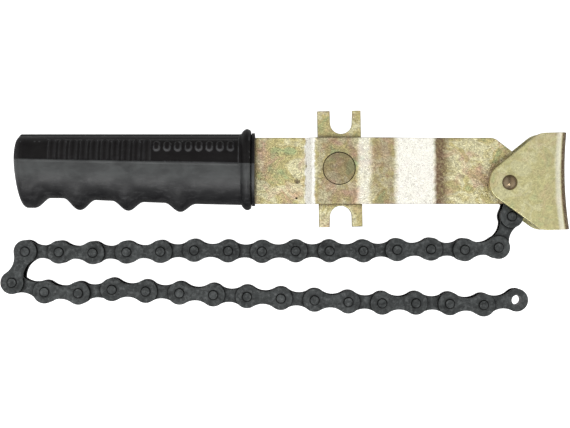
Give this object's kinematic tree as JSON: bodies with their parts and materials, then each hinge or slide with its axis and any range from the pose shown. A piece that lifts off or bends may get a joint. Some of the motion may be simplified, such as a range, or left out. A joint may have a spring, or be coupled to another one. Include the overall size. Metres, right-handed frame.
{
  "type": "chain-type oil filter wrench",
  "caption": "Chain wrench for oil filters: rubber-gripped cranked bar with a fork plate, a pivoting concave jaw and a roller chain that wraps the filter and hooks in the fork.",
  "frame": {"origin": "middle of the jaw's concave bearing face, half-way through the chain", "axes": "+X out of the jaw, away from the grip; +Z along the chain pins; +Y towards the fork plate's upper notch"},
  "size_m": [0.2135, 0.0776, 0.0268],
  "materials": {
    "zinc_plate": "yellow zinc-plated sheet steel, satin",
    "zinc_rivet": "yellow zinc-plated rivet, lightly peened",
    "chain_plate": "dark heat-coloured steel, lightly oiled",
    "chain_roller": "dark hardened steel, turned",
    "grip_rubber": "moulded black rubber, satin"
  },
  "bodies": {
    "handle": {"bar": "zinc_plate", "fork_plate": "zinc_plate", "fork_rivet": "zinc_rivet", "grip": "grip_rubber"},
    "jaw": {"jaw": "zinc_plate", "jaw_rivet": "zinc_rivet"},
    "link_01": {"outer_link_01": "chain_plate"},
    "link_02": {"inner_link_02": "chain_plate", "rollers_02": "chain_roller"},
    "link_03": {"outer_link_03": "chain_plate"},
    "link_04": {"inner_link_04": "chain_plate", "rollers_04": "chain_roller"},
    "link_05": {"outer_link_05": "chain_plate"},
    "link_06": {"inner_link_06": "chain_plate", "rollers_06": "chain_roller"},
    "link_07": {"outer_link_07": "chain_plate"},
    "link_08": {"inner_link_08": "chain_plate", "rollers_08": "chain_roller"},
    "link_09": {"outer_link_09": "chain_plate"},
    "link_10": {"inner_link_10": "chain_plate", "rollers_10": "chain_roller"},
    "link_11": {"outer_link_11": "chain_plate"},
    "link_12": {"inner_link_12": "chain_plate", "rollers_12": "chain_roller"},
    "link_13": {"outer_link_13": "chain_plate"},
    "link_14": {"inner_link_14": "chain_plate", "rollers_14": "chain_roller"},
    "link_15": {"outer_link_15": "chain_plate"},
    "link_16": {"inner_link_16": "chain_plate", "rollers_16": "chain_roller"},
    "link_17": {"outer_link_17": "chain_plate"},
    "link_18": {"inner_link_18": "chain_plate", "rollers_18": "chain_roller"},
    "link_19": {"outer_link_19": "chain_plate"},
    "link_20": {"inner_link_20": "chain_plate", "rollers_20": "chain_roller"},
    "link_21": {"outer_link_21": "chain_plate"},
    "link_22": {"inner_link_22": "chain_plate", "rollers_22": "chain_roller"},
    "link_23": {"outer_link_23": "chain_plate"},
    "link_24": {"inner_link_24": "chain_plate", "rollers_24": "chain_roller"},
    "link_25": {"outer_link_25": "chain_plate"},
    "link_26": {"inner_link_26": "chain_plate", "rollers_26": "chain_roller"},
    "link_27": {"outer_link_27": "chain_plate"},
    "link_28": {"inner_link_28": "chain_plate", "rollers_28": "chain_roller"},
    "link_29": {"outer_link_29": "chain_plate"},
    "link_30": {"inner_link_30": "chain_plate", "rollers_30": "chain_roller"},
    "link_31": {"outer_link_31": "chain_plate"},
    "link_32": {"inner_link_32": "chain_plate", "rollers_32": "chain_roller"}
  },
  "joints": [
    {"name": "jaw_pivot", "type": "hinge", "parent": "handle", "child": "jaw", "pos_m": [-0.02124, -0.00061, 0], "axis": [0, 0, 1], "range_deg": [-35, 35]},
    {"name": "chain_wrap", "type": "hinge", "parent": "handle", "child": "link_01", "pos_m": [-0.02124, -0.00061, 0], "axis": [0, 0, 1], "range_deg": [0, 36.89]},
    {"name": "pin_01", "type": "hinge", "parent": "link_01", "child": "link_02", "pos_m": [-0.01991, -0.01324, 0], "axis": [0, 0, 1], "range_deg": [0, 29]},
    {"name": "pin_02", "type": "hinge", "parent": "link_02", "child": "link_03", "pos_m": [-0.02488, -0.02493, 0], "axis": [0, 0, 1], "range_deg": [0, 63.84]},
    {"name": "pin_03", "type": "hinge", "parent": "link_03", "child": "link_04", "pos_m": [-0.03755, -0.02582, 0], "axis": [0, 0, 1], "range_deg": [0, 19.08]},
    {"name": "pin_04", "type": "hinge", "parent": "link_04", "child": "link_05", "pos_m": [-0.05024, -0.0256, 0], "axis": [0, 0, 1], "range_deg": [0, 16.68]},
    {"name": "pin_05", "type": "hinge", "parent": "link_05", "child": "link_06", "pos_m": [-0.06294, -0.02582, 0], "axis": [0, 0, 1], "range_deg": [0, 17.68]},
    {"name": "pin_06", "type": "hinge", "parent": "link_06", "child": "link_07", "pos_m": [-0.07563, -0.02626, 0], "axis": [0, 0, 1], "range_deg": [0, 20.68]},
    {"name": "pin_07", "type": "hinge", "parent": "link_07", "child": "link_08", "pos_m": [-0.08833, -0.02626, 0], "axis": [0, 0, 1], "range_deg": [0, 18.68]},
    {"name": "pin_08", "type": "hinge", "parent": "link_08", "child": "link_09", "pos_m": [-0.10103, -0.02626, 0], "axis": [0, 0, 1], "range_deg": [0, 17.68]},
    {"name": "pin_09", "type": "hinge", "parent": "link_09", "child": "link_10", "pos_m": [-0.11373, -0.02648, 0], "axis": [0, 0, 1], "range_deg": [0, 20.68]},
    {"name": "pin_10", "type": "hinge", "parent": "link_10", "child": "link_11", "pos_m": [-0.12643, -0.02626, 0], "axis": [0, 0, 1], "range_deg": [0, 18.68]},
    {"name": "pin_11", "type": "hinge", "parent": "link_11", "child": "link_12", "pos_m": [-0.13913, -0.02604, 0], "axis": [0, 0, 1], "range_deg": [0, 15.68]},
    {"name": "pin_12", "type": "hinge", "parent": "link_12", "child": "link_13", "pos_m": [-0.15182, -0.02648, 0], "axis": [0, 0, 1], "range_deg": [0, 19.68]},
    {"name": "pin_13", "type": "hinge", "parent": "link_13", "child": "link_14", "pos_m": [-0.16452, -0.02671, 0], "axis": [0, 0, 1], "range_deg": [0, 18.68]},
    {"name": "pin_14", "type": "hinge", "parent": "link_14", "child": "link_15", "pos_m": [-0.17722, -0.02693, 0], "axis": [0, 0, 1], "range_deg": [0, 20.68]},
    {"name": "pin_15", "type": "hinge", "parent": "link_15", "child": "link_16", "pos_m": [-0.18991, -0.02671, 0], "axis": [0, 0, 1], "range_deg": [0, 15.71]},
    {"name": "pin_16", "type": "hinge", "parent": "link_16", "child": "link_17", "pos_m": [-0.20261, -0.02648, 0], "axis": [0, 0, 1], "range_deg": [-68, 0]},
    {"name": "pin_17", "type": "hinge", "parent": "link_17", "child": "link_18", "pos_m": [-0.20757, -0.03817, 0], "axis": [0, 0, 1], "range_deg": [-97, 0]},
    {"name": "pin_18", "type": "hinge", "parent": "link_18", "child": "link_19", "pos_m": [-0.19537, -0.04167, 0], "axis": [0, 0, 1], "range_deg": [-14, 0]},
    {"name": "pin_19", "type": "hinge", "parent": "link_19", "child": "link_20", "pos_m": [-0.18267, -0.04212, 0], "axis": [0, 0, 1], "range_deg": [-8, 0]},
    {"name": "pin_20", "type": "hinge", "parent": "link_20", "child": "link_21", "pos_m": [-0.17004, -0.04079, 0], "axis": [0, 0, 1], "range_deg": [0, 9]},
    {"name": "pin_21", "type": "hinge", "parent": "link_21", "child": "link_22", "pos_m": [-0.15736, -0.04145, 0], "axis": [0, 0, 1], "range_deg": [-3, 0]},
    {"name": "pin_22", "type": "hinge", "parent": "link_22", "child": "link_23", "pos_m": [-0.14468, -0.04212, 0], "axis": [0, 0, 1], "range_deg": [-3, 0]},
    {"name": "pin_23", "type": "hinge", "parent": "link_23", "child": "link_24", "pos_m": [-0.132, -0.04278, 0], "axis": [0, 0, 1], "range_deg": [-3, 0]},
    {"name": "pin_24", "type": "hinge", "parent": "link_24", "child": "link_25", "pos_m": [-0.11931, -0.04345, 0], "axis": [0, 0, 1], "range_deg": [-54, 0]},
    {"name": "pin_25", "type": "hinge", "parent": "link_25", "child": "link_26", "pos_m": [-0.10663, -0.04411, 0], "axis": [0, 0, 1], "range_deg": [-30, 5]},
    {"name": "pin_26", "type": "hinge", "parent": "link_26", "child": "link_27", "pos_m": [-0.09395, -0.04478, 0], "axis": [0, 0, 1], "range_deg": [-30, 6]},
    {"name": "pin_27", "type": "hinge", "parent": "link_27", "child": "link_28", "pos_m": [-0.08127, -0.04544, 0], "axis": [0, 0, 1], "range_deg": [-30, 7]},
    {"name": "pin_28", "type": "hinge", "parent": "link_28", "child": "link_29", "pos_m": [-0.06857, -0.04589, 0], "axis": [0, 0, 1], "range_deg": [-30, 9]},
    {"name": "pin_29", "type": "hinge", "parent": "link_29", "child": "link_30", "pos_m": [-0.05587, -0.04589, 0], "axis": [0, 0, 1], "range_deg": [-30, 12]},
    {"name": "pin_30", "type": "hinge", "parent": "link_30", "child": "link_31", "pos_m": [-0.04318, -0.04611, 0], "axis": [0, 0, 1], "range_deg": [-30, 18]},
    {"name": "pin_31", "type": "hinge", "parent": "link_31", "child": "link_32", "pos_m": [-0.03048, -0.04655, 0], "axis": [0, 0, 1], "range_deg": [-30, 40]}
  ],
  "couplings": [
    {"joint": "pin_01", "follows": "chain_wrap", "ratio": 0.78607},
    {"joint": "pin_02", "follows": "chain_wrap", "ratio": 1.7303},
    {"joint": "pin_03", "follows": "chain_wrap", "ratio": 0.51726},
    {"joint": "pin_04", "follows": "chain_wrap", "ratio": 0.45223},
    {"joint": "pin_05", "follows": "chain_wrap", "ratio": 0.47933},
    {"joint": "pin_06", "follows": "chain_wrap", "ratio": 0.56065},
    {"joint": "pin_07", "follows": "chain_wrap", "ratio": 0.50644},
    {"joint": "pin_08", "follows": "chain_wrap", "ratio": 0.47933},
    {"joint": "pin_09", "follows": "chain_wrap", "ratio": 0.56065},
    {"joint": "pin_10", "follows": "chain_wrap", "ratio": 0.50644},
    {"joint": "pin_11", "follows": "chain_wrap", "ratio": 0.42512},
    {"joint": "pin_12", "follows": "chain_wrap", "ratio": 0.53355},
    {"joint": "pin_13", "follows": "chain_wrap", "ratio": 0.50644},
    {"joint": "pin_14", "follows": "chain_wrap", "ratio": 0.56065},
    {"joint": "pin_15", "follows": "chain_wrap", "ratio": 0.42596},
    {"joint": "pin_16", "follows": "chain_wrap", "ratio": -1.8432},
    {"joint": "pin_17", "follows": "chain_wrap", "ratio": -2.6293},
    {"joint": "pin_18", "follows": "chain_wrap", "ratio": -0.37948},
    {"joint": "pin_19", "follows": "chain_wrap", "ratio": -0.21685},
    {"joint": "pin_20", "follows": "chain_wrap", "ratio": 0.24395},
    {"joint": "pin_24", "follows": "chain_wrap", "ratio": -1.4637}
  ]
}
